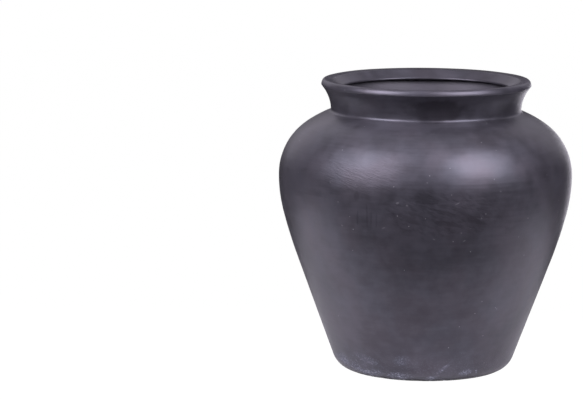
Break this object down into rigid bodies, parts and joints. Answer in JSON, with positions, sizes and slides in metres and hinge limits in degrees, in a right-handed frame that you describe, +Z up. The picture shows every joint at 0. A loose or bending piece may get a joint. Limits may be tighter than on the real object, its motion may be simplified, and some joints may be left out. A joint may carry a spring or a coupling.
{
  "type": "clay pot",
  "caption": "Round black clay pot with a narrow foot, a wide high shoulder, a short flared neck and a rolled rim.",
  "frame": {"origin": "centre of the foot, on the surface that the pot stands on", "axes": "+Z up along the pot's axis of turning, through the mouth; X and Y are alike, because every piece is turned"},
  "size_m": [0.29, 0.29, 0.289],
  "materials": {
    "burnished_clay": "satin",
    "bare_clay": "matte"
  },
  "bodies": {
    "root": {"base_disc": "bare_clay", "floor_coil": "bare_clay", "lower_wall": "burnished_clay", "belly_wall": "burnished_clay", "shoulder_wall": "burnished_clay", "neck_coil": "burnished_clay", "neck_collar": "burnished_clay", "rim_roll": "burnished_clay"}
  },
  "joints": []
}
